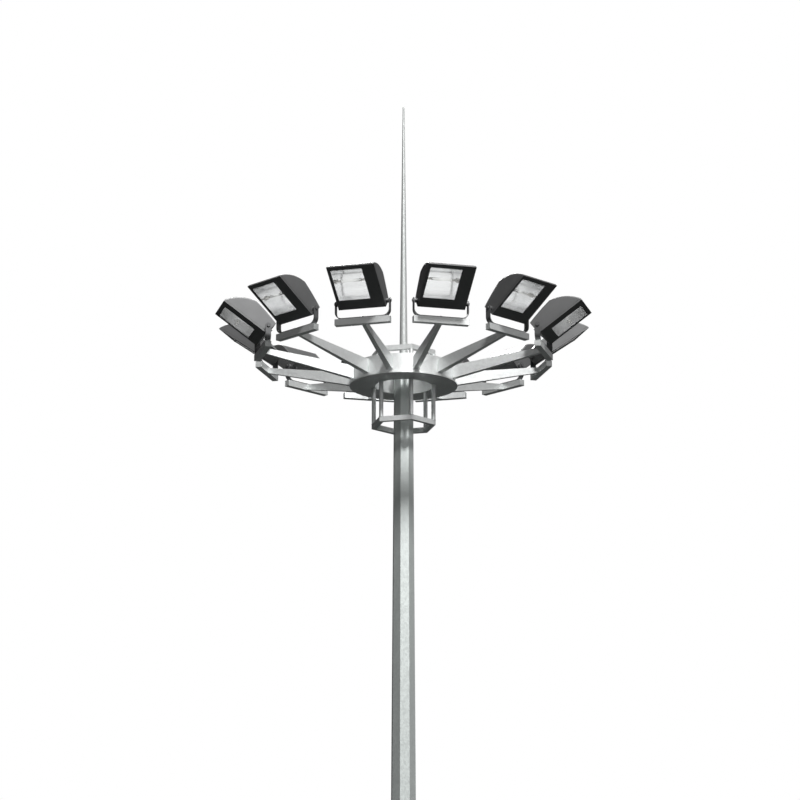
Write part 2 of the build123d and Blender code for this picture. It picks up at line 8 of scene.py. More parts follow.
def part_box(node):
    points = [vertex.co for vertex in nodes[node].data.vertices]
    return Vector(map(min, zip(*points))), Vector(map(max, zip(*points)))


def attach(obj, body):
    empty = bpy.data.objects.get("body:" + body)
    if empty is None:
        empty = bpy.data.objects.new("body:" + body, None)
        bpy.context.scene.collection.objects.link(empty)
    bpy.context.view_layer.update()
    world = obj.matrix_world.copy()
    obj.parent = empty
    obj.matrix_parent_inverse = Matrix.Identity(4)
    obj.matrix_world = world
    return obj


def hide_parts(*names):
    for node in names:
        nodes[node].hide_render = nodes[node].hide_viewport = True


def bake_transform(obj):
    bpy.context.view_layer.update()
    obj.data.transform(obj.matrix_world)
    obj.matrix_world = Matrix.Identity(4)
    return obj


# High mast floodlight tower: finishes, welds, fixings, lamps and light round the packed
# frame. Metres, with the origin under the middle of the base flange and +Z up.

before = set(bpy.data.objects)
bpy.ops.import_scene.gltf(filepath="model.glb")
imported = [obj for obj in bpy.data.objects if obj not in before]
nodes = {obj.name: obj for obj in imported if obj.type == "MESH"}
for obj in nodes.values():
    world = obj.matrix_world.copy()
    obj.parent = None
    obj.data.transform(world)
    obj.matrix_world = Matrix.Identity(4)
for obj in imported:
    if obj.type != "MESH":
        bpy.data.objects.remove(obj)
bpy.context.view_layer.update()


# Mast shaft: two eight-sided lengths of folded steel plate, the upper one slipped over the
# lower. Each is closed by a long seam weld at the back, and both are hot-dip galvanised,
# which leaves flat zinc crystals and faint run marks down the sides.

SHAFT_HEIGHT = 20.0
SHAFT_TOP_FLATS = 0.193
SHAFT_TAPER = 0.011
SHAFT_WALL = 0.004
SPLICE_HEIGHT = 9.6
SEAM_SIDE = 112.5
SEAM_BEAD = 0.0035
SEAM_SUNK = 0.001
SEAM_SHORT = 0.001
SHAFT_ZINC = (0.665, 0.705, 0.690, 1.0)
WELD_COLOUR = (0.62, 0.65, 0.64, 1.0)
ZINC_METALLIC = 0.80
ZINC_ROUGHNESS = 0.46


def set_inputs(node, values):
    """Sets a node's plain input values by name."""
    for name, value in values.items():
        node.inputs[name].default_value = value


def new_material(name, values):
    """A node material with one Principled shader, and that shader's plain values."""
    material = bpy.data.materials.new(name)
    material.use_nodes = True
    tree = material.node_tree
    tree.nodes.clear()
    shader = tree.nodes.new("ShaderNodeBsdfPrincipled")
    output = tree.nodes.new("ShaderNodeOutputMaterial")
    tree.links.new(shader.outputs["BSDF"], output.inputs["Surface"])
    set_inputs(shader, values)
    return material, tree, shader


def new_group(name, inputs, outputs):
    """A shader node group with named input values and outputs, and its two end nodes."""
    group = bpy.data.node_groups.new(name, "ShaderNodeTree")
    for label, kind, value in inputs:
        socket = group.interface.new_socket(label, in_out="INPUT", socket_type=kind)
        socket.default_value = value
    for label, kind in outputs:
        group.interface.new_socket(label, in_out="OUTPUT", socket_type=kind)
    return group, group.nodes.new("NodeGroupInput"), group.nodes.new("NodeGroupOutput")


def math_node(tree, operation, *values):
    """A Math node; each value is a number or a socket to link."""
    node = tree.nodes.new("ShaderNodeMath")
    node.operation = operation
    for socket, value in zip(node.inputs, values):
        if isinstance(value, (int, float)):
            socket.default_value = value
        else:
            tree.links.new(value, socket)
    return node.outputs[0]


def object_noise(tree, scale, detail, stretch=(1.0, 1.0, 1.0)):
    """Noise on Object coordinates, stretched along an axis where stretch is under 1."""
    place = tree.nodes.new("ShaderNodeTexCoord")
    turn = tree.nodes.new("ShaderNodeMapping")
    turn.inputs["Scale"].default_value = stretch
    noise = tree.nodes.new("ShaderNodeTexNoise")
    set_inputs(noise, {"Scale": scale, "Detail": detail, "Roughness": 0.55})
    tree.links.new(place.outputs["Object"], turn.inputs["Vector"])
    tree.links.new(turn.outputs["Vector"], noise.inputs["Vector"])
    return noise.outputs["Fac"]


zinc_crystals, given, made = new_group(
    "zinc_crystals",
    [
        ("Colour", "NodeSocketColor", (0.5, 0.5, 0.5, 1.0)),
        ("Roughness", "NodeSocketFloat", 0.4),
        ("Crystals", "NodeSocketFloat", 0.1),
        ("Runs", "NodeSocketFloat", 0.05),
    ],
    [
        ("Colour", "NodeSocketColor"),
        ("Roughness", "NodeSocketFloat"),
        ("Height", "NodeSocketFloat"),
    ],
)
place = zinc_crystals.nodes.new("ShaderNodeTexCoord")
cells = zinc_crystals.nodes.new("ShaderNodeTexVoronoi")
cells.inputs["Scale"].default_value = 70.0
zinc_crystals.links.new(place.outputs["Object"], cells.inputs["Vector"])
parts = zinc_crystals.nodes.new("ShaderNodeSeparateColor")
zinc_crystals.links.new(cells.outputs["Color"], parts.inputs["Color"])
crystal = math_node(zinc_crystals, "SUBTRACT", parts.outputs["Red"], 0.5)
run = math_node(
    zinc_crystals, "SUBTRACT", object_noise(zinc_crystals, 16.0, 3.0, (1.0, 1.0, 0.04)), 0.5
)
cloud = math_node(zinc_crystals, "SUBTRACT", object_noise(zinc_crystals, 2.6, 4.0), 0.5)
shade = math_node(zinc_crystals, "MULTIPLY_ADD", crystal, given.outputs["Crystals"], 1.0)
shade = math_node(zinc_crystals, "MULTIPLY_ADD", run, given.outputs["Runs"], shade)
shade = math_node(zinc_crystals, "MULTIPLY_ADD", cloud, 0.10, shade)
tint = zinc_crystals.nodes.new("ShaderNodeVectorMath")
tint.operation = "SCALE"
zinc_crystals.links.new(given.outputs["Colour"], tint.inputs[0])
zinc_crystals.links.new(shade, tint.inputs["Scale"])
zinc_crystals.links.new(tint.outputs["Vector"], made.inputs["Colour"])
zinc_crystals.links.new(
    math_node(
        zinc_crystals,
        "MULTIPLY",
        given.outputs["Roughness"],
        math_node(zinc_crystals, "MULTIPLY_ADD", crystal, 0.25, 1.0),
    ),
    made.inputs["Roughness"],
)
zinc_crystals.links.new(parts.outputs["Green"], made.inputs["Height"])


def galvanised(name, colour, roughness, crystals, runs, metallic=ZINC_METALLIC):
    """Zinc-coated steel: a colour, how rough it is, and how strong its crystals and runs are."""
    material, tree, shader = new_material(name, {"Metallic": metallic})
    coat = tree.nodes.new("ShaderNodeGroup")
    coat.node_tree = zinc_crystals
    set_inputs(
        coat, {"Colour": colour, "Roughness": roughness, "Crystals": crystals, "Runs": runs}
    )
    bump = tree.nodes.new("ShaderNodeBump")
    set_inputs(bump, {"Strength": 0.08, "Distance": 0.0006})
    tree.links.new(coat.outputs["Colour"], shader.inputs["Base Color"])
    tree.links.new(coat.outputs["Roughness"], shader.inputs["Roughness"])
    tree.links.new(coat.outputs["Height"], bump.inputs["Height"])
    tree.links.new(bump.outputs["Normal"], shader.inputs["Normal"])
    return material


def finish_nodes(material, *names):
    """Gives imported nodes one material."""
    for name in names:
        mesh = nodes[name].data
        mesh.materials.clear()
        mesh.materials.append(material)


def weld_beads(name, body, runs, radius):
    """Weld beads along runs of points: (points, closed). A bead swells and thins a little
    every few millimetres, as laid by hand."""
    pitch, thinned = 0.006, 0.82
    beads = bpy.data.curves.new(name, "CURVE")
    beads.dimensions = "3D"
    beads.bevel_depth = radius
    beads.bevel_resolution = 1
    beads.use_fill_caps = True
    for points, closed in runs:
        ends = points[1:] + points[:1] if closed else points[1:]
        laid = []
        for start, end in zip(points, ends):
            steps = max(1, round((end - start).length / pitch))
            laid += [start.lerp(end, step / steps) for step in range(steps)]
        if not closed:
            laid.append(points[-1])
        bead = beads.splines.new("POLY")
        bead.points.add(len(laid) - 1)
        bead.use_cyclic_u = closed
        for index, (point, where) in enumerate(zip(bead.points, laid)):
            point.co = (*where, 1.0)
            point.radius = 1.0 if index % 2 else thinned
    shape = bpy.data.objects.new(name, beads)
    mesh = bpy.data.meshes.new_from_object(shape)
    mesh.name = name
    bpy.data.objects.remove(shape)
    new_piece(name, mesh, weld_steel, body)


def new_piece(name, mesh, material, body):
    """Links a finished mesh as a piece that rides on a body."""
    mesh.materials.clear()
    mesh.materials.append(material)
    piece = bpy.data.objects.new(name, mesh)
    bpy.context.scene.collection.objects.link(piece)
    if body:
        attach(piece, body)
    return piece


def shaft_flats(height):
    """Width across the flats of the shaft's outside at a height."""
    wall = 0.0 if height >= SPLICE_HEIGHT else 2 * SHAFT_WALL
    return SHAFT_TOP_FLATS + SHAFT_TAPER * (SHAFT_HEIGHT - height) - wall


def around(azimuth, radius, height):
    """A point at an azimuth in degrees, a distance from the mast's axis and a height."""
    turn = math.radians(azimuth)
    return Vector((radius * math.cos(turn), radius * math.sin(turn), height))


shaft_steel = galvanised("shaft_zinc", SHAFT_ZINC, ZINC_ROUGHNESS, 0.05, 0.05)
finish_nodes(shaft_steel, "shaft_lower", "shaft_upper")
weld_steel = galvanised("weld_zinc", WELD_COLOUR, 0.5, 0.12, 0.0)

flange_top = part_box("base_flange")[1].z
seam_runs = []
for ends in ((flange_top, SPLICE_HEIGHT - SEAM_SHORT), (SPLICE_HEIGHT, SHAFT_HEIGHT)):
    seam = [around(SEAM_SIDE, shaft_flats(end) / 2 - SEAM_SUNK, end) for end in ends]
    seam_runs.append((seam, False))
weld_beads("shaft_seams", "mast", seam_runs, SEAM_BEAD)


# Base: a round flange plate and eight gussets, welded to the shaft and galvanised with it.
# Fillet welds run round the shaft's foot and along both sides of every gusset.

SHAFT_SIDES = 8
SHAFT_TURN = 360.0 / SHAFT_SIDES
GUSSET_HEIGHT = 0.26
GUSSET_REACH = 0.13
GUSSET_HALF = 0.006
BASE_BEAD = 0.005
BASE_BEAD_OFF = 0.002

base_steel = galvanised("base_zinc", SHAFT_ZINC, ZINC_ROUGHNESS, 0.12, 0.04)
finish_nodes(base_steel, "base_flange", "base_gussets")

foot_flats = shaft_flats(flange_top) / 2
foot_corner = foot_flats / math.cos(math.radians(SHAFT_TURN / 2))
foot_level = flange_top + BASE_BEAD_OFF
gusset_top = flange_top + GUSSET_HEIGHT
foot = [around(SHAFT_TURN * side, foot_corner, foot_level) for side in range(SHAFT_SIDES)]
base_runs = [(foot, True)]
for side in range(SHAFT_SIDES):
    azimuth = SHAFT_TURN * (side + 0.5)
    for hand in (-1, 1):
        sideways = around(azimuth + 90.0, hand * (GUSSET_HALF + BASE_BEAD_OFF), 0.0)
        gusset = [
            around(azimuth, shaft_flats(gusset_top) / 2, gusset_top) + sideways,
            around(azimuth, foot_flats, foot_level) + sideways,
            around(azimuth, foot_flats + GUSSET_REACH, foot_level) + sideways,
        ]
        base_runs.append((gusset, False))
weld_beads("base_welds", "mast", base_runs, BASE_BEAD)


# Service door: a galvanised cover plate on a welded frame in the foot of the mast, held by
# four button-headed socket screws, one near each corner.

DOOR_SIDE = 292.5
DOOR_MIDDLE = 1.0
DOOR_PROUD = 0.019
SCREW_ACROSS = 0.046
SCREW_ALONG = 0.300
SCREW_RADIUS = 0.009
SCREW_HEIGHT = 0.005
UP = Vector((0.0, 0.0, 1.0))
ZINC_COLOUR = (0.790, 0.805, 0.800, 1.0)
BOLT_COLOUR = (0.66, 0.67, 0.66, 1.0)

finish_nodes(galvanised("door_zinc", ZINC_COLOUR, 0.44, 0.10, 0.03), "door_frame", "door_cover")
bright_zinc = galvanised("bolt_zinc", BOLT_COLOUR, 0.32, 0.05, 0.0, 0.85)


def to_mesh(shape, name, smooth=False):
    """Turns a bmesh into a mesh, flat or smooth."""
    for face in shape.faces:
        face.smooth = smooth
    mesh = bpy.data.meshes.new(name)
    shape.to_mesh(mesh)
    shape.free()
    return mesh


def facing(origin, outward, up):
    """A placing matrix: +Z along outward, and +Y as near to up as it can be."""
    z = outward.normalized()
    x = up.cross(z).normalized()
    y = z.cross(x)
    turn = Matrix((x, y, z)).transposed().to_4x4()
    return Matrix.Translation(origin) @ turn


def turned_disc(shape, place, radius, height, segments=24, top_radius=None):
    """A short turned cylinder or cone standing on a placing matrix's XY plane."""
    made_disc = bmesh.ops.create_cone(
        shape,
        cap_ends=True,
        segments=segments,
        radius1=radius,
        radius2=radius if top_radius is None else top_radius,
        depth=height,
        matrix=place @ Matrix.Translation(height / 2 * UP),
    )
    return made_disc["verts"]


def socket_screw(shape, place, radius, height):
    """A round head with a sloping shoulder and a socket sunk in its flat top."""
    edge, flat = height * 0.4, radius * 0.62
    land, wall, depth = radius * 0.24, radius * 0.04, height * 0.5
    turned_disc(shape, place, radius, edge)
    shoulder = place @ Matrix.Translation(edge * UP)
    verts = turned_disc(shape, shoulder, radius, height - edge, top_radius=flat)
    outer = place @ (height * UP)
    top = min(
        {face for vert in verts for face in vert.link_faces},
        key=lambda face: (face.calc_center_median() - outer).length,
    )
    bmesh.ops.inset_individual(shape, faces=[top], thickness=land, depth=0.0)
    bmesh.ops.inset_individual(shape, faces=[top], thickness=wall, depth=-depth)


door_face = shaft_flats(DOOR_MIDDLE) / 2 + DOOR_PROUD
lean = math.atan(SHAFT_TAPER / 2)
door_out = around(DOOR_SIDE, math.cos(lean), math.sin(lean))
door_across = around(DOOR_SIDE + 90.0, 1.0, 0.0)
door_up = door_out.cross(door_across)
door_centre = around(DOOR_SIDE, door_face, DOOR_MIDDLE)
screws = bmesh.new()
for across in (-SCREW_ACROSS, SCREW_ACROSS):
    for along in (-SCREW_ALONG, SCREW_ALONG):
        seat = door_centre + across * door_across + along * door_up
        socket_screw(screws, facing(seat, door_out, door_up), SCREW_RADIUS, SCREW_HEIGHT)
new_piece("door_screws", to_mesh(screws, "door_screws"), bright_zinc, "mast")


# Mast head: a capping plate with three pairs of cheeks welded on it, each holding one cast
# iron sheave on an axle with a nut and washer at both ends.

SHEAVE_AZIMUTHS = (105.0, 225.0, 345.0)
SHEAVE_RADIUS = 0.155
SHEAVE_LEVEL = 20.125
CHEEK_OUTSIDE = 0.023
CHEEK_FOOT = (0.070, 0.108)
CHEEK_BEAD = 0.003
BEAD_OFF = 0.001
HEAD_TOP = 20.016
AXLE_WASHER = (0.019, 0.003)
AXLE_NUT = (0.030, 0.010)
IRON = (0.16, 0.165, 0.165, 1.0)

finish_nodes(galvanised("head_zinc", ZINC_COLOUR, 0.44, 0.10, 0.0), "head_frame")

cast_iron, tree, shader = new_material("sheave_iron", {"Base Color": IRON, "Metallic": 0.2})
grain = object_noise(tree, 220.0, 4.0)
bump = tree.nodes.new("ShaderNodeBump")
set_inputs(bump, {"Strength": 0.35, "Distance": 0.0008})
tree.links.new(grain, bump.inputs["Height"])
tree.links.new(bump.outputs["Normal"], shader.inputs["Normal"])
tree.links.new(math_node(tree, "MULTIPLY_ADD", grain, 0.25, 0.42), shader.inputs["Roughness"])
finish_nodes(cast_iron, "hoist_sheaves")


def hex_head(shape, place, across, height):
    """A hexagonal head or nut, given across its flats, with its outer edges chamfered."""
    sides, chamfer, close = 6, height * 0.14, 1e-5
    radius = across / 2 / math.cos(math.pi / sides)
    verts = turned_disc(shape, place, radius, height, sides)
    outer = place @ (height * UP)
    normal = place.to_3x3() @ UP
    rim = [
        edge
        for edge in {edge for vert in verts for edge in vert.link_edges}
        if all(abs((vert.co - outer).dot(normal)) < close for vert in edge.verts)
    ]
    bmesh.ops.bevel(
        shape,
        geom=rim,
        offset=chamfer,
        offset_type="OFFSET",
        segments=1,
        profile=0.5,
        affect="EDGES",
        material=-1,
    )


def nut_on_washer(shape, seat, washer, nut):
    """A washer, given as its radius and thickness, and on it a nut or hexagon head."""
    radius, thickness = washer
    turned_disc(shape, seat, radius, thickness)
    hex_head(shape, seat @ Matrix.Translation(thickness * UP), *nut)


axle_nuts = bmesh.new()
cheek_runs = []
for azimuth in SHEAVE_AZIMUTHS:
    centre = around(azimuth, SHEAVE_RADIUS, SHEAVE_LEVEL)
    for hand in (-1, 1):
        outward = around(azimuth + 90.0, hand, 0.0)
        seat = facing(centre + outward * CHEEK_OUTSIDE, outward, UP)
        nut_on_washer(axle_nuts, seat, AXLE_WASHER, AXLE_NUT)
        sideways = outward * (CHEEK_OUTSIDE + BEAD_OFF)
        foot = [around(azimuth, end, HEAD_TOP + BEAD_OFF) + sideways for end in CHEEK_FOOT]
        cheek_runs.append((foot, False))
new_piece("axle_nuts", to_mesh(axle_nuts, "axle_nuts"), bright_zinc, "mast")
weld_beads("cheek_welds", "mast", cheek_runs, CHEEK_BEAD)


# Hoist ropes: three galvanised wire ropes of six strands laid round a core. Each comes up
# inside the shaft, turns over its sheave and drops to a socket in the carriage, so the
# fall stretches between the two as the carriage is let down.

ROPE_RADIUS = 0.004
ROPE_STRANDS = 6
ROPE_FALL_RADIUS = 0.250
ROPE_LAY = 0.052
STRAND_POINTS = 4
GROOVE_DEPTH = 0.80
FALL_STEPS = 24

rope_steel, tree, shader = new_material("rope_wire", {"Metallic": 0.7})
wires = tree.nodes.new("ShaderNodeTexWave")
set_inputs(wires, {"Scale": 160.0, "Distortion": 0.6, "Detail": 1.0})
place = tree.nodes.new("ShaderNodeTexCoord")
turn = tree.nodes.new("ShaderNodeMapping")
turn.inputs["Rotation"].default_value = (0.5, 0.6, 0.0)
tree.links.new(place.outputs["Object"], turn.inputs["Vector"])
tree.links.new(turn.outputs["Vector"], wires.inputs["Vector"])
# The wire pattern also sets the colour, darker where the bump sinks: painted shade in the grooves
# between the wires.
shades = tree.nodes.new("ShaderNodeMix")
shades.data_type = "RGBA"
shades.inputs["A"].default_value = (0.20, 0.20, 0.195, 1.0)
shades.inputs["B"].default_value = (0.48, 0.48, 0.47, 1.0)
tree.links.new(wires.outputs["Fac"], shades.inputs["Factor"])
tree.links.new(shades.outputs["Result"], shader.inputs["Base Color"])
tree.links.new(
    math_node(tree, "MULTIPLY_ADD", wires.outputs["Fac"], -0.15, 0.5), shader.inputs["Roughness"]
)
bump = tree.nodes.new("ShaderNodeBump")
set_inputs(bump, {"Strength": 0.5, "Distance": 0.0004})
tree.links.new(wires.outputs["Fac"], bump.inputs["Height"])
tree.links.new(bump.outputs["Normal"], shader.inputs["Normal"])
finish_nodes(rope_steel, "rope_bends")

fall_low, fall_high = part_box("hoist_ropes")[0].z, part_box("hoist_ropes")[1].z
falls = bmesh.new()
for azimuth in SHEAVE_AZIMUTHS:
    foot = around(azimuth, ROPE_FALL_RADIUS, fall_low)
    ring = bmesh.ops.create_circle(
        falls,
        segments=STRAND_POINTS * ROPE_STRANDS,
        radius=ROPE_RADIUS,
        matrix=Matrix.Translation(foot),
    )["verts"]
    for vert in ring[::STRAND_POINTS]:
        vert.co = foot + (vert.co - foot) * GROOVE_DEPTH
    edges = [edge for edge in falls.edges if edge.verts[0] in ring and edge.verts[1] in ring]
    bmesh.ops.spin(
        falls,
        geom=ring + edges,
        cent=foot,
        axis=UP,
        dvec=(fall_high - fall_low) / FALL_STEPS * UP,
        angle=2 * math.pi * (fall_high - fall_low) / ROPE_LAY,
        steps=FALL_STEPS,
        use_merge=False,
    )
bmesh.ops.recalc_face_normals(falls, faces=falls.faces)
falls_mesh = to_mesh(falls, "hoist_rope_falls", smooth=True)
fall_ropes = new_piece("hoist_rope_falls", falls_mesh, rope_steel, None)
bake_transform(fall_ropes)
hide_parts("hoist_ropes")


# Lightning spire: a tapered, drawn steel tube with a rounded tip, welded into a flange and
# bolted on a short pedestal tube by four hexagon bolts.

SPIRE_BOLTS = 4
SPIRE_BOLT_RADIUS = 0.059
SPIRE_FLANGE = 0.012
SPIRE_WASHER = (0.0145, 0.0025)
SPIRE_HEAD = (0.024, 0.010)
PEDESTAL_RADIUS = 0.04445
SPIRE_ROOT_RADIUS = 0.043
SPIRE_BEAD = 0.003
SPIRE_COLOUR = (0.62, 0.64, 0.63, 1.0)

spire_steel = galvanised("spire_zinc", SPIRE_COLOUR, 0.38, 0.04, 0.05, 0.6)
finish_nodes(spire_steel, "spire_pedestal", "lightning_spire")
pedestal_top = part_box("spire_pedestal")[1].z
spire_bolts = bmesh.new()
for index in range(SPIRE_BOLTS):
    where = around(360.0 / SPIRE_BOLTS * index, SPIRE_BOLT_RADIUS, pedestal_top)
    for side in (1, -1):
        seat = facing(where + side * SPIRE_FLANGE * UP, side * UP, Vector((0.0, 1.0, 0.0)))
        nut_on_washer(spire_bolts, seat, SPIRE_WASHER, SPIRE_HEAD)
new_piece("spire_bolts", to_mesh(spire_bolts, "spire_bolts"), bright_zinc, "mast")


def ring_run(centre, radius, points=32):
    """A closed run of points round a centre, on the level, just off a tube of that radius."""
    turn = 360.0 / points
    return [centre + around(turn * step, radius + BEAD_OFF, 0.0) for step in range(points)], True


spire_runs = [
    ring_run((pedestal_top + SPIRE_FLANGE + BEAD_OFF) * UP, SPIRE_ROOT_RADIUS),
    ring_run((pedestal_top - SPIRE_FLANGE - BEAD_OFF) * UP, PEDESTAL_RADIUS),
    ring_run((HEAD_TOP + BEAD_OFF) * UP, PEDESTAL_RADIUS),
]
weld_beads("spire_welds", "mast", spire_runs, SPIRE_BEAD)


# Carriage: a ring-shaped box of rolled and flat plate, with a hexagonal guide cage on round
# posts above and below it. It is welded up, then dipped in zinc as one piece.

CARRIAGE_LEVEL = 19.91
DRUM_RADIUS = 0.546
DRUM_TOP = 20.124
BOTTOM_PLATE = 0.012
POST_COUNT = 6
POST_RING = 0.326
POST_RADIUS = 0.022
DRUM_POINTS, POST_POINTS = 72, 24
CARRIAGE_BEAD = 0.003

carriage_steel = galvanised("carriage_zinc", ZINC_COLOUR, ZINC_ROUGHNESS, 0.06, 0.03)
finish_nodes(
    carriage_steel,
    "drum_bottom_plate",
    "drum_outer_wall",
    "drum_inner_wall",
    "drum_top_plate",
    "cage_upper_ring",
    "cage_lower_ring",
    "cage_posts",
    "rope_lugs",
)
post_ends = (
    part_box("cage_lower_ring")[1].z + BEAD_OFF,
    CARRIAGE_LEVEL - BEAD_OFF,
    DRUM_TOP + BEAD_OFF,
    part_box("cage_upper_ring")[0].z - BEAD_OFF,
)
drum_foot = (CARRIAGE_LEVEL + BOTTOM_PLATE + BEAD_OFF) * UP
carriage_runs = [ring_run(drum_foot, DRUM_RADIUS, DRUM_POINTS)]
for post in range(POST_COUNT):
    for level in post_ends:
        post_end = around(360.0 / POST_COUNT * post, POST_RING, level)
        carriage_runs.append(ring_run(post_end, POST_RADIUS, POST_POINTS))
weld_beads("carriage_welds", "carriage", carriage_runs, CARRIAGE_BEAD)


# Arms and crossbars: twelve box beams, deepest at the drum, each carrying a square tube
# with a cap let into both ends. All are welded and galvanised with the carriage.

LIGHTS = 12
ARM_ROOT = (0.064, 0.045, 0.186)
ARM_TIP = (0.038, 0.253, 0.311)
CROSSBAR_RADIUS = 1.52
CROSSBAR_LEVEL = 0.282
CROSSBAR_SIZE = 0.065
CROSSBAR_HALF = 0.288
ARM_TIP_GAP = 0.002
CAP_BEAD_IN = 0.003
CAP_BEAD_SUNK = 0.0005

arm_steel = galvanised("arm_zinc", ZINC_COLOUR, ZINC_ROUGHNESS, 0.05, 0.0)
finish_nodes(arm_steel, "carriage_arms", "crossbars", "crossbar_caps")


def beam_corners(azimuth, radius, section):
    """Four corners just off a beam's section, on an upright face at a radius. The section is
    its width and how high its bottom and top are over the carriage's underside."""
    width, bottom, top = section
    across = around(azimuth + 90.0, width / 2 + BEAD_OFF, 0.0)
    low = around(azimuth, radius + BEAD_OFF, CARRIAGE_LEVEL + bottom - BEAD_OFF)
    high = around(azimuth, radius + BEAD_OFF, CARRIAGE_LEVEL + top + BEAD_OFF)
    return [low - across, low + across, high + across, high - across]


arm_root_radius = math.sqrt(DRUM_RADIUS**2 - (ARM_ROOT[0] / 2) ** 2)
arm_tip_radius = CROSSBAR_RADIUS - CROSSBAR_SIZE / 2 - ARM_TIP_GAP
cap_half = CROSSBAR_SIZE / 2 - CAP_BEAD_IN
arm_runs = []
for light in range(LIGHTS):
    azimuth = 360.0 / LIGHTS * light
    arm_runs.append((beam_corners(azimuth, arm_root_radius, ARM_ROOT), True))
    arm_runs.append((beam_corners(azimuth, arm_tip_radius, ARM_TIP), True))
    middle = around(azimuth, CROSSBAR_RADIUS, CARRIAGE_LEVEL + CROSSBAR_LEVEL)
    radial = around(azimuth, cap_half, 0.0)
    upright = cap_half * UP
    for hand in (-1, 1):
        end = middle + around(azimuth + 90.0, hand * (CROSSBAR_HALF - CAP_BEAD_SUNK), 0.0)
        cap = [
            end - radial - upright,
            end + radial - upright,
            end + radial + upright,
            end - radial + upright,
        ]
        arm_runs.append((cap, True))
weld_beads("arm_welds", "carriage", arm_runs, CARRIAGE_BEAD)


# Yokes: flat steel bars bent into a U and powder coated dark grey, each bolted down on its
# crossbar by one round-headed bolt in the middle.

YOKE_BAR = 0.008
YOKE_PAINT = (0.130, 0.131, 0.133, 1.0)
YOKE_WASHER = (0.017, 0.003)
YOKE_HEAD = (0.014, 0.008)

powder_grain, given, made = new_group(
    "powder_grain",
    [
        ("Colour", "NodeSocketColor", (0.1, 0.1, 0.1, 1.0)),
        ("Roughness", "NodeSocketFloat", 0.5),
        ("Grain", "NodeSocketFloat", 500.0),
    ],
    [
        ("Colour", "NodeSocketColor"),
        ("Roughness", "NodeSocketFloat"),
        ("Height", "NodeSocketFloat"),
    ],
)
place = powder_grain.nodes.new("ShaderNodeTexCoord")
speck = powder_grain.nodes.new("ShaderNodeTexNoise")
set_inputs(speck, {"Detail": 2.0, "Roughness": 0.5})
powder_grain.links.new(place.outputs["Object"], speck.inputs["Vector"])
powder_grain.links.new(given.outputs["Grain"], speck.inputs["Scale"])
cloud = object_noise(powder_grain, 5.0, 3.0)
shade = math_node(powder_grain, "MULTIPLY_ADD", cloud, 0.30, 0.85)
tint = powder_grain.nodes.new("ShaderNodeVectorMath")
tint.operation = "SCALE"
powder_grain.links.new(given.outputs["Colour"], tint.inputs[0])
powder_grain.links.new(shade, tint.inputs["Scale"])
powder_grain.links.new(tint.outputs["Vector"], made.inputs["Colour"])
worn = math_node(powder_grain, "MULTIPLY_ADD", cloud, 0.12, 0.94)
powder_grain.links.new(
    math_node(powder_grain, "MULTIPLY", given.outputs["Roughness"], worn), made.inputs["Roughness"]
)
powder_grain.links.new(speck.outputs["Fac"], made.inputs["Height"])


def powder_coated(name, colour, roughness, grain, metallic, depth=0.0002):
    """Powder-coated metal: its colour, how rough it is, and how fine and deep its grain is."""
    material, tree, shader = new_material(name, {"Metallic": metallic})
    coat = tree.nodes.new("ShaderNodeGroup")
    coat.node_tree = powder_grain
    set_inputs(coat, {"Colour": colour, "Roughness": roughness, "Grain": grain})
    bump = tree.nodes.new("ShaderNodeBump")
    set_inputs(bump, {"Strength": 0.2, "Distance": depth})
    tree.links.new(coat.outputs["Colour"], shader.inputs["Base Color"])
    tree.links.new(coat.outputs["Roughness"], shader.inputs["Roughness"])
    tree.links.new(coat.outputs["Height"], bump.inputs["Height"])
    tree.links.new(bump.outputs["Normal"], shader.inputs["Normal"])
    return material


yoke_paint = powder_coated("yoke_paint", YOKE_PAINT, 0.48, 500.0, 0.60)
finish_nodes(yoke_paint, "yokes")
yoke_bolts = bmesh.new()
yoke_floor = CARRIAGE_LEVEL + CROSSBAR_LEVEL + CROSSBAR_SIZE / 2 + YOKE_BAR
for light in range(LIGHTS):
    azimuth = 360.0 / LIGHTS * light
    seat = facing(around(azimuth, CROSSBAR_RADIUS, yoke_floor), UP, around(azimuth, 1.0, 0.0))
    turned_disc(yoke_bolts, seat, *YOKE_WASHER)
    socket_screw(yoke_bolts, seat @ Matrix.Translation(YOKE_WASHER[1] * UP), *YOKE_HEAD)
new_piece("yoke_bolts", to_mesh(yoke_bolts, "yoke_bolts"), bright_zinc, "carriage")


# Floodlights: cast aluminium housings, powder coated dark grey, that turn in their yokes on
# two painted hexagon bolts. Six small black socket screws hold the front frame.

PIVOT_LEVEL = 20.3895
FACE_TILT = math.radians(35.0)
FACE_DEPTH = -0.068
FACE_LOW, FACE_HIGH = -0.026, 0.522
FACE_HALF = 0.248
HOUSING_PAINT = (0.180, 0.181, 0.182, 1.0)
SCREW_BLACK = (0.03, 0.03, 0.03, 1.0)
PIVOT_HEAD_OUT = 0.2885
PIVOT_HEAD = (0.031, 0.0105)
FRAME_SCREW = (0.005, 0.0025)
FRAME_SCREW_IN = 0.013
FRAME_SCREW_END = 0.014


def light_names():
    """Each floodlight's body name and azimuth."""
    return [(f"floodlight_{light + 1:02d}", 360.0 / LIGHTS * light) for light in range(LIGHTS)]


def in_light(azimuth, across, along, depth):
    """A point in a floodlight: across it, up its face, and back from the pivots' level."""
    radial = along * math.cos(FACE_TILT) - depth * math.sin(FACE_TILT)
    upright = along * math.sin(FACE_TILT) + depth * math.cos(FACE_TILT)
    return around(azimuth, CROSSBAR_RADIUS + radial, PIVOT_LEVEL + upright) + around(
        azimuth + 90.0, across, 0.0
    )


def light_axes(azimuth):
    """A floodlight's own directions: across it, up its face, and into its back."""
    origin = in_light(azimuth, 0.0, 0.0, 0.0)
    return [
        in_light(azimuth, *step) - origin
        for step in ((1.0, 0.0, 0.0), (0.0, 1.0, 0.0), (0.0, 0.0, 1.0))
    ]


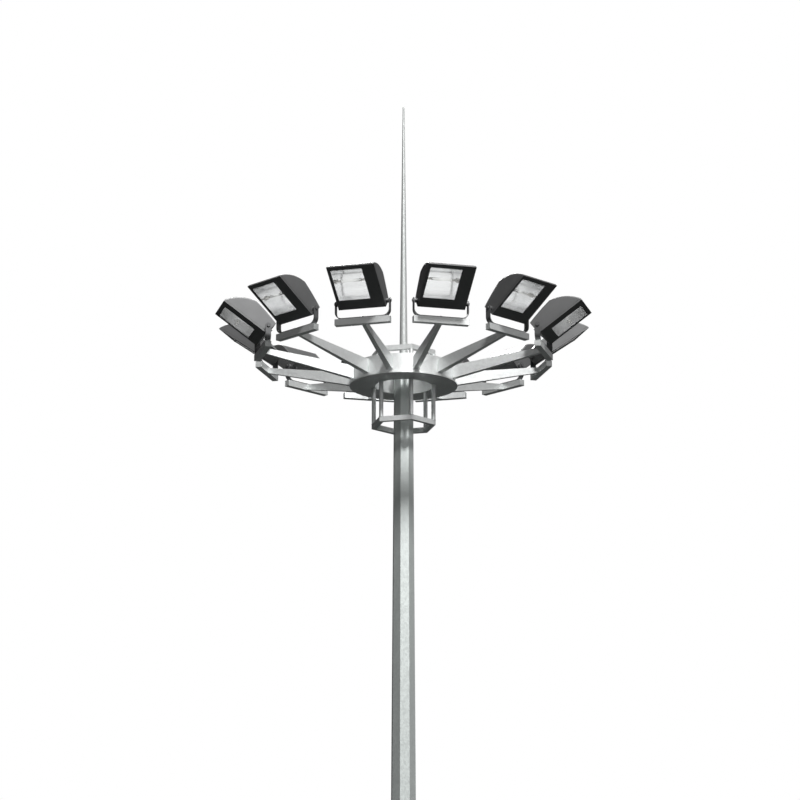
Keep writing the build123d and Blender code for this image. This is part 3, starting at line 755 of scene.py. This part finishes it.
housing_paint = powder_coated("housing_paint", HOUSING_PAINT, 0.48, 420.0, 0.70, 0.0003)
screw_black = powder_coated("screw_black", SCREW_BLACK, 0.4, 500.0, 0.3)
screw_levels = (
    FACE_LOW + FRAME_SCREW_END,
    (FACE_LOW + FACE_HIGH) / 2,
    FACE_HIGH - FRAME_SCREW_END,
)
for name, azimuth in light_names():
    finish_nodes(housing_paint, f"{name}_housing")
    across, along, back = light_axes(azimuth)
    pivots = bmesh.new()
    for hand in (-1, 1):
        seat = in_light(azimuth, hand * PIVOT_HEAD_OUT, 0.0, 0.0)
        hex_head(pivots, facing(seat, hand * across, along), *PIVOT_HEAD)
    mesh = to_mesh(pivots, f"{name}_pivots")
    new_piece(f"{name}_pivots", mesh, yoke_paint, name)
    screws = bmesh.new()
    for side in (-1, 1):
        for level in screw_levels:
            seat = in_light(azimuth, side * (FACE_HALF - FRAME_SCREW_IN), level, FACE_DEPTH)
            socket_screw(screws, facing(seat, -back, along), *FRAME_SCREW)
    mesh = to_mesh(screws, f"{name}_screws")
    new_piece(f"{name}_screws", mesh, screw_black, name)


# Windows: toughened glass panes, nearer to one side of each housing, pressed against the
# inside of the front frame on a black silicone bead that shows as a thin dark line.

WALL = 0.004
WINDOW_ACROSS = -0.053
WINDOW_ALONG = 0.283
WINDOW_WIDTH, WINDOW_HEIGHT = 0.334, 0.390
MIRRORED = ("floodlight_01",)
BEAD_RADIUS = 0.002
CORNER_RADIUS = 0.006
CORNER_STEPS = 3
SILICONE_BLACK = (0.018, 0.018, 0.018, 1.0)

window_glass, tree, shader = new_material(
    "window_glass", {"Transmission Weight": 1.0, "IOR": 1.47, "Specular IOR Level": 0.5}
)
smear = object_noise(tree, 9.0, 4.0)
film = tree.nodes.new("ShaderNodeMix")
film.data_type = "RGBA"
film.inputs["A"].default_value = (1.0, 1.0, 1.0, 1.0)
film.inputs["B"].default_value = (0.975, 0.985, 0.980, 1.0)
tree.links.new(smear, film.inputs["Factor"])
tree.links.new(film.outputs["Result"], shader.inputs["Base Color"])
tree.links.new(math_node(tree, "MULTIPLY", smear, 0.03), shader.inputs["Roughness"])

silicone, tree, shader = new_material(
    "silicone_bead", {"Base Color": SILICONE_BLACK, "Specular IOR Level": 0.35}
)
tree.links.new(
    math_node(tree, "MULTIPLY_ADD", object_noise(tree, 60.0, 3.0), 0.2, 0.5),
    shader.inputs["Roughness"],
)


def bead_corners():
    """The bead's path round a window, from the window's middle, with rounded corners."""
    straight_x = WINDOW_WIDTH / 2 - BEAD_RADIUS - CORNER_RADIUS
    straight_y = WINDOW_HEIGHT / 2 - BEAD_RADIUS - CORNER_RADIUS
    corners = []
    for quarter, (side_x, side_y) in enumerate(((1, 1), (-1, 1), (-1, -1), (1, -1))):
        for step in range(CORNER_STEPS + 1):
            turn = math.radians(90.0 * (quarter + step / CORNER_STEPS))
            corners.append(
                (
                    side_x * straight_x + CORNER_RADIUS * math.cos(turn),
                    side_y * straight_y + CORNER_RADIUS * math.sin(turn),
                )
            )
    return corners


corners = bead_corners()
for name, azimuth in light_names():
    finish_nodes(window_glass, f"{name}_glass")
    hand = -1 if name in MIRRORED else 1
    path = bpy.data.curves.new(f"{name}_bead", "CURVE")
    path.dimensions = "3D"
    path.bevel_depth = BEAD_RADIUS
    path.bevel_resolution = 2
    bead = path.splines.new("POLY")
    bead.points.add(len(corners) - 1)
    bead.use_cyclic_u = True
    for point, (x, y) in zip(bead.points, corners):
        where = in_light(azimuth, hand * WINDOW_ACROSS + x, WINDOW_ALONG + y, FACE_DEPTH + WALL)
        point.co = (*where, 1.0)
    shape = bpy.data.objects.new(f"{name}_bead", path)
    mesh = bpy.data.meshes.new_from_object(shape)
    bpy.data.objects.remove(shape)
    new_piece(f"{name}_bead", mesh, silicone, name)


# Reflectors and lamps: a peened bright aluminium trough behind each pane, with painted shade
# darkening its upper part. Across it lies a clear quartz lamp tube, held by a ceramic holder
# at each end.

# Heights between which the reflector's colour darkens: painted shade under the housing's top.
PAINTED_SHADE_FROM, PAINTED_SHADE_TO = 20.50, 20.66
LAMP_DEPTH = 0.075
LAMP_RADIUS = 0.0135
LAMP_LENGTH = 0.205
LAMP_TIP = 0.004
STEM_RADIUS = 0.011
STEM_SIDES = 20
STEM_SHORT = 0.012
BLOCK_SHORT = 0.009
BLOCK_SIZE = (0.034, 0.034, 0.020, 1.0)
BLOCK_ROUNDING = 0.003

reflector, tree, shader = new_material("reflector", {"Metallic": 0.9})
place = tree.nodes.new("ShaderNodeTexCoord")
dimples = tree.nodes.new("ShaderNodeTexVoronoi")
dimples.feature = "SMOOTH_F1"
dimples.inputs["Scale"].default_value = 110.0
tree.links.new(place.outputs["Object"], dimples.inputs["Vector"])
bump = tree.nodes.new("ShaderNodeBump")
set_inputs(bump, {"Strength": 0.10, "Distance": 0.0006})
tree.links.new(dimples.outputs["Distance"], bump.inputs["Height"])
tree.links.new(bump.outputs["Normal"], shader.inputs["Normal"])
shades = tree.nodes.new("ShaderNodeMix")
shades.data_type = "RGBA"
shades.inputs["A"].default_value = (0.98, 0.982, 0.985, 1.0)
shades.inputs["B"].default_value = (0.96, 0.965, 0.97, 1.0)
tree.links.new(object_noise(tree, 14.0, 3.0), shades.inputs["Factor"])
height = tree.nodes.new("ShaderNodeSeparateXYZ")
tree.links.new(place.outputs["Object"], height.inputs["Vector"])
# Painted shade: the colour falls to 0.80 of itself from the lower height to the upper one.
painted_shade = tree.nodes.new("ShaderNodeMapRange")
set_inputs(painted_shade, {"From Min": PAINTED_SHADE_FROM, "From Max": PAINTED_SHADE_TO, "To Min": 1.0, "To Max": 0.80})
tree.links.new(height.outputs["Z"], painted_shade.inputs["Value"])
tint = tree.nodes.new("ShaderNodeVectorMath")
tint.operation = "SCALE"
tree.links.new(shades.outputs["Result"], tint.inputs[0])
tree.links.new(painted_shade.outputs["Result"], tint.inputs["Scale"])
tree.links.new(tint.outputs["Vector"], shader.inputs["Base Color"])
tree.links.new(
    math_node(tree, "MULTIPLY_ADD", object_noise(tree, 30.0, 3.0), 0.08, 0.14),
    shader.inputs["Roughness"],
)

lamp_glass, tree, shader = new_material(
    "lamp_quartz", {"Transmission Weight": 1.0, "IOR": 1.45, "Roughness": 0.0}
)
quartz = tree.nodes.new("ShaderNodeMix")
quartz.data_type = "RGBA"
quartz.inputs["A"].default_value = (0.97, 0.97, 0.96, 1.0)
quartz.inputs["B"].default_value = (0.88, 0.88, 0.86, 1.0)
tree.links.new(object_noise(tree, 25.0, 2.0), quartz.inputs["Factor"])
tree.links.new(quartz.outputs["Result"], shader.inputs["Base Color"])

ceramic, tree, shader = new_material("lamp_ceramic", {"Specular IOR Level": 0.5})
fired = tree.nodes.new("ShaderNodeMix")
fired.data_type = "RGBA"
fired.inputs["A"].default_value = (0.80, 0.79, 0.75, 1.0)
fired.inputs["B"].default_value = (0.70, 0.69, 0.66, 1.0)
fired_noise = object_noise(tree, 60.0, 3.0)
tree.links.new(fired_noise, fired.inputs["Factor"])
tree.links.new(fired.outputs["Result"], shader.inputs["Base Color"])
tree.links.new(math_node(tree, "MULTIPLY_ADD", fired_noise, 0.2, 0.35), shader.inputs["Roughness"])

room = WINDOW_WIDTH / 2 - LAMP_LENGTH / 2
for name, azimuth in light_names():
    finish_nodes(reflector, f"{name}_reflector")
    hand = -1 if name in MIRRORED else 1
    across, along, _ = light_axes(azimuth)
    middle = in_light(azimuth, hand * WINDOW_ACROSS, WINDOW_ALONG, FACE_DEPTH + LAMP_DEPTH)
    tube = facing(middle - across * LAMP_LENGTH / 2, across, along)
    bulb = bmesh.new()
    turned_disc(bulb, tube, LAMP_RADIUS, LAMP_LENGTH)
    for face in [face for face in bulb.faces if len(face.verts) > 4]:
        bmesh.ops.inset_individual(bulb, faces=[face], thickness=LAMP_TIP, depth=LAMP_TIP)
    mesh = to_mesh(bulb, f"{name}_lamp", smooth=True)
    new_piece(f"{name}_lamp", mesh, lamp_glass, name)
    holders = bmesh.new()
    for side in (-1, 1):
        seat = facing(middle + across * side * LAMP_LENGTH / 2, across * side, along)
        turned_disc(holders, seat, STEM_RADIUS, room - STEM_SHORT, STEM_SIDES)
        end = Matrix.Translation((room - BLOCK_SHORT) * UP) @ Matrix.Diagonal(BLOCK_SIZE)
        block = bmesh.ops.create_cube(holders, size=1.0, matrix=seat @ end)
        block_edges = {edge for vert in block["verts"] for edge in vert.link_edges}
        bmesh.ops.bevel(
            holders,
            geom=list(block_edges),
            offset=BLOCK_ROUNDING,
            offset_type="OFFSET",
            segments=2,
            profile=0.5,
            affect="EDGES",
            material=-1,
        )
    mesh = to_mesh(holders, f"{name}_holders")
    new_piece(f"{name}_holders", mesh, ceramic, name)


# Floor, surround and lights: a wide floor, pale near the mast and white far from it, and a
# white surround. The camera and rays through glass see them so, and other rays see them dim.
# A round softbox high on the right is the key, and a weaker one stands behind.

FLOOR_RADIUS = 400.0
FLOOR_SIDES = 96
FLOOR_PALE = (0.84, 0.84, 0.84, 1.0)
FLOOR_DIM = (0.042, 0.045, 0.044, 1.0)
PALE_TO, WHITE_FROM = 10.0, 70.0
WHITE = (1.0, 1.0, 1.0, 1.0)
SURROUND_SIDE = 322.0
SURROUND_LEAST, SURROUND_RISE = 0.03, 0.45
DIFFUSE_SHARE = 0.3
LAMP_DISTANCE = 60.0
KEY_LAMP = ("key", 8.5, 56000.0, 303.0, 48.0)
BACK_LAMP = ("back", 16.0, 30000.0, 116.0, 36.0)
HEAD = CARRIAGE_LEVEL * UP

scene = bpy.context.scene
scene.view_settings.view_transform = "Standard"
floor_shape = bmesh.new()
bmesh.ops.create_circle(floor_shape, cap_ends=True, segments=FLOOR_SIDES, radius=FLOOR_RADIUS)
floor = bpy.data.objects.new("floor", to_mesh(floor_shape, "floor"))
scene.collection.objects.link(floor)
floor_paint, tree, shader = new_material("floor_paint", {"Roughness": 0.9})
place = tree.nodes.new("ShaderNodeTexCoord")
away = tree.nodes.new("ShaderNodeVectorMath")
away.operation = "LENGTH"
tree.links.new(place.outputs["Object"], away.inputs[0])
far = tree.nodes.new("ShaderNodeMapRange")
far.interpolation_type = "SMOOTHSTEP"
set_inputs(far, {"From Min": PALE_TO, "From Max": WHITE_FROM})
tree.links.new(away.outputs["Value"], far.inputs["Value"])


def seen_rays(tree):
    """1 for rays from the camera and rays through glass, 0 for all others."""
    path = tree.nodes.new("ShaderNodeLightPath")
    camera_ray, glass_ray = path.outputs["Is Camera Ray"], path.outputs["Is Transmission Ray"]
    return math_node(tree, "MAXIMUM", camera_ray, glass_ray)


seen = seen_rays(tree)
seen_far = math_node(tree, "MULTIPLY", seen, far.outputs["Result"])
seen_near = math_node(tree, "SUBTRACT", seen, seen_far)
tones = tree.nodes.new("ShaderNodeMix")
tones.data_type = "RGBA"
tones.inputs["A"].default_value = FLOOR_DIM
tones.inputs["B"].default_value = FLOOR_PALE
tree.links.new(seen_near, tones.inputs["Factor"])
tree.links.new(tones.outputs["Result"], shader.inputs["Base Color"])
shader.inputs["Emission Color"].default_value = WHITE
tree.links.new(seen_far, shader.inputs["Emission Strength"])
floor.data.materials.append(floor_paint)

world = bpy.data.worlds.new("surround")
scene.world = world
world.use_nodes = True
tree = world.node_tree
tree.nodes.clear()
out = tree.nodes.new("ShaderNodeOutputWorld")
where = tree.nodes.new("ShaderNodeTexCoord")
towards = tree.nodes.new("ShaderNodeVectorMath")
towards.operation = "DOT_PRODUCT"
towards.inputs[1].default_value = around(SURROUND_SIDE, 1.0, 0.0)
tree.links.new(where.outputs["Generated"], towards.inputs[0])
side = tree.nodes.new("ShaderNodeMapRange")
set_inputs(side, {"From Min": -1.0, "From Max": 1.0})
tree.links.new(towards.outputs["Value"], side.inputs["Value"])
shine = math_node(tree, "MULTIPLY_ADD", side.outputs["Result"], SURROUND_RISE, SURROUND_LEAST)
glossy = tree.nodes.new("ShaderNodeLightPath").outputs["Is Glossy Ray"]
share = math_node(tree, "MULTIPLY_ADD", glossy, 1.0 - DIFFUSE_SHARE, DIFFUSE_SHARE)
strength = tree.nodes.new("ShaderNodeMix")
tree.links.new(seen_rays(tree), strength.inputs["Factor"])
tree.links.new(math_node(tree, "MULTIPLY", shine, share), strength.inputs["A"])
strength.inputs["B"].default_value = 1.0
light = tree.nodes.new("ShaderNodeBackground")
light.inputs["Color"].default_value = WHITE
tree.links.new(strength.outputs["Result"], light.inputs["Strength"])
tree.links.new(light.outputs["Background"], out.inputs["Surface"])


def aimed_at(thing, target, azimuth, elevation, distance, roll=0.0):
    """Puts a lamp or the camera round a target, looking at it."""
    back = around(azimuth, math.cos(math.radians(elevation)), math.sin(math.radians(elevation)))
    thing.matrix_world = (
        Matrix.Translation(target + back * distance)
        @ (-back).to_track_quat("-Z", "Y").to_matrix().to_4x4()
        @ Matrix.Rotation(math.radians(roll), 4, "Z")
    )


for name, size, power, azimuth, elevation in (KEY_LAMP, BACK_LAMP):
    softbox = bpy.data.lights.new(name, "AREA")
    softbox.shape = "DISK"
    softbox.size = size
    softbox.energy = power
    lamp = bpy.data.objects.new(name, softbox)
    scene.collection.objects.link(lamp)
    aimed_at(lamp, HEAD, azimuth, elevation, LAMP_DISTANCE)


# Camera: a long lens below the carriage, looking up at it. Its rise is negative, as it
# stands lower than what it looks at.

SENSOR_WIDTH = 36.0
FOCAL_LENGTH = 126.97
LENS_SHIFT = (-0.0044, -0.0168)
CAMERA_SIDE = 285.66
CAMERA_RISE = -15.36
CAMERA_DISTANCE = 29.775
CAMERA_ROLL = 0.013

lens = bpy.data.cameras.new("camera")
lens.sensor_width = SENSOR_WIDTH
lens.lens = FOCAL_LENGTH
lens.shift_x, lens.shift_y = LENS_SHIFT
camera = bpy.data.objects.new("camera", lens)
scene.collection.objects.link(camera)
aimed_at(camera, HEAD, CAMERA_SIDE, CAMERA_RISE, CAMERA_DISTANCE, CAMERA_ROLL)
scene.camera = camera
